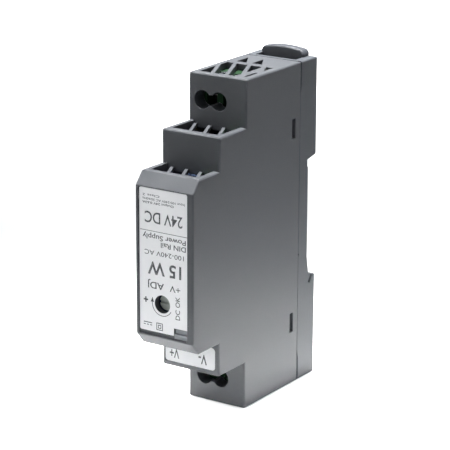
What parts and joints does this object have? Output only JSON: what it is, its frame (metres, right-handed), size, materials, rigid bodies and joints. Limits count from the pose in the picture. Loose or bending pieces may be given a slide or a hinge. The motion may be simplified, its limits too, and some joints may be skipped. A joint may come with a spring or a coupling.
{
  "type": "din rail power supply",
  "caption": "Slim one-module power supply for a 35 mm rail: stepped vented case, screw terminals at both ends, voltage trimmer, status window and sprung rail latch.",
  "frame": {"origin": "centre of the face that seats on the 35 mm rail", "axes": "+X across the module (right side seen from the front), +Y back into the rail, +Z towards the latch end"},
  "size_m": [0.018, 0.0593, 0.0932],
  "materials": {
    "case_plastic": "slate grey moulded housing plastic, fine satin spark texture",
    "cover_plastic": "slate grey moulded housing plastic, satin",
    "latch_plastic": "dark grey moulded nylon, satin",
    "label_film": "white printed polyester film, satin",
    "light_pipe_plastic": "smoky translucent light pipe",
    "spring_steel": "drawn spring wire, bright",
    "board_laminate": "glass fibre laminate under green solder mask",
    "solder": "tin solder, bright",
    "insulating_film": "translucent insulating film",
    "green_terminal_plastic": "bright green moulded nylon",
    "tinned_copper": "tinned copper strip",
    "plated_steel": "zinc plated steel, satin",
    "blue_trimmer_plastic": "blue moulded trimmer housing",
    "grey_trimmer_rotor": "light grey moulded rotor",
    "led_package": "clear epoxy on a white package",
    "black_component": "black moulded epoxy",
    "green_lacquer": "dark green dipped lacquer",
    "blue_lacquer": "blue dipped lacquer",
    "yellow_component": "yellow plastic box",
    "yellow_tape": "yellow polyester tape",
    "ferrite": "sintered ferrite, dull dark grey",
    "enamelled_copper": "enamelled copper wire",
    "capacitor_sleeve": "dark shrink sleeve",
    "white_component": "white moulded epoxy",
    "chip_ceramic": "fired chip ceramic"
  },
  "bodies": {
    "root": {"front_case": "case_plastic", "rear_cover": "cover_plastic", "front_label": "label_film", "output_label": "label_film", "light_pipe": "light_pipe_plastic", "latch_spring": "spring_steel", "main_board": "board_laminate", "solder_joints": "solder", "insulation_sheet": "insulating_film", "input_block": "green_terminal_plastic", "output_block": "green_terminal_plastic", "input_contact_left": "tinned_copper", "input_contact_right": "tinned_copper", "output_contact_left": "tinned_copper", "output_contact_right": "tinned_copper", "trimmer_body": "blue_trimmer_plastic", "status_led": "led_package", "fuse": "black_component", "inrush_thermistor": "green_lacquer", "varistor": "blue_lacquer", "x_capacitor": "yellow_component", "choke_core": "ferrite", "choke_windings": "enamelled_copper", "bridge_rectifier": "black_component", "bulk_capacitor_upper": "capacitor_sleeve", "bulk_capacitor_lower": "capacitor_sleeve", "switching_controller": "black_component", "snubber_resistor": "blue_lacquer", "transformer_core": "ferrite", "transformer_bobbin": "black_component", "transformer_winding": "yellow_tape", "y_capacitor": "blue_lacquer", "optocoupler": "white_component", "output_rectifier": "black_component", "output_capacitor_front": "capacitor_sleeve", "output_capacitor_rear": "capacitor_sleeve", "inductor_core": "ferrite", "inductor_winding": "enamelled_copper", "surface_parts": "chip_ceramic"},
    "latch": {"latch_slider": "latch_plastic"},
    "trimmer_rotor": {"trimmer_rotor": "grey_trimmer_rotor"},
    "input_left_screw": {"input_screw_left": "plated_steel"},
    "input_left_cage": {"input_cage_left": "plated_steel"},
    "input_right_screw": {"input_screw_right": "plated_steel"},
    "input_right_cage": {"input_cage_right": "plated_steel"},
    "output_left_screw": {"output_screw_left": "plated_steel"},
    "output_left_cage": {"output_cage_left": "plated_steel"},
    "output_right_screw": {"output_screw_right": "plated_steel"},
    "output_right_cage": {"output_cage_right": "plated_steel"}
  },
  "joints": [
    {"name": "latch_slide", "type": "slide", "parent": "root", "child": "latch", "axis": [0, 0, 1], "range_m": [0, 0.0045], "stiffness_N_per_m": 900, "springref_m": -0.004, "deforming": ["latch_spring"]},
    {"name": "trimmer_turn", "type": "hinge", "parent": "root", "child": "trimmer_rotor", "pos_m": [-0.00074, -0.0525, -0.0108], "axis": [0, -1, 0], "range_deg": [-105, 105]},
    {"name": "input_left_screw_turn", "type": "hinge", "parent": "root", "child": "input_left_screw", "pos_m": [-0.0047, -0.0202, 0.042], "axis": [0, 0, -1], "range_deg": [0, 1600]},
    {"name": "input_left_cage_rise", "type": "slide", "parent": "root", "child": "input_left_cage", "axis": [0, 0, 1], "range_m": [0, 0.002]},
    {"name": "input_right_screw_turn", "type": "hinge", "parent": "root", "child": "input_right_screw", "pos_m": [0.00038, -0.0202, 0.042], "axis": [0, 0, -1], "range_deg": [0, 1600]},
    {"name": "input_right_cage_rise", "type": "slide", "parent": "root", "child": "input_right_cage", "axis": [0, 0, 1], "range_m": [0, 0.002]},
    {"name": "output_left_screw_turn", "type": "hinge", "parent": "root", "child": "output_left_screw", "pos_m": [-0.0038, -0.0202, -0.042], "axis": [0, 0, 1], "range_deg": [0, 1600]},
    {"name": "output_left_cage_rise", "type": "slide", "parent": "root", "child": "output_left_cage", "axis": [0, 0, -1], "range_m": [0, 0.002]},
    {"name": "output_right_screw_turn", "type": "hinge", "parent": "root", "child": "output_right_screw", "pos_m": [0.00128, -0.0202, -0.042], "axis": [0, 0, 1], "range_deg": [0, 1600]},
    {"name": "output_right_cage_rise", "type": "slide", "parent": "root", "child": "output_right_cage", "axis": [0, 0, -1], "range_m": [0, 0.002]}
  ],
  "couplings": [
    {"joint": "input_left_screw_turn", "follows": "input_left_cage_rise", "rad_per_m": 13963},
    {"joint": "input_right_screw_turn", "follows": "input_right_cage_rise", "rad_per_m": 13963},
    {"joint": "output_left_screw_turn", "follows": "output_left_cage_rise", "rad_per_m": 13963},
    {"joint": "output_right_screw_turn", "follows": "output_right_cage_rise", "rad_per_m": 13963}
  ]
}
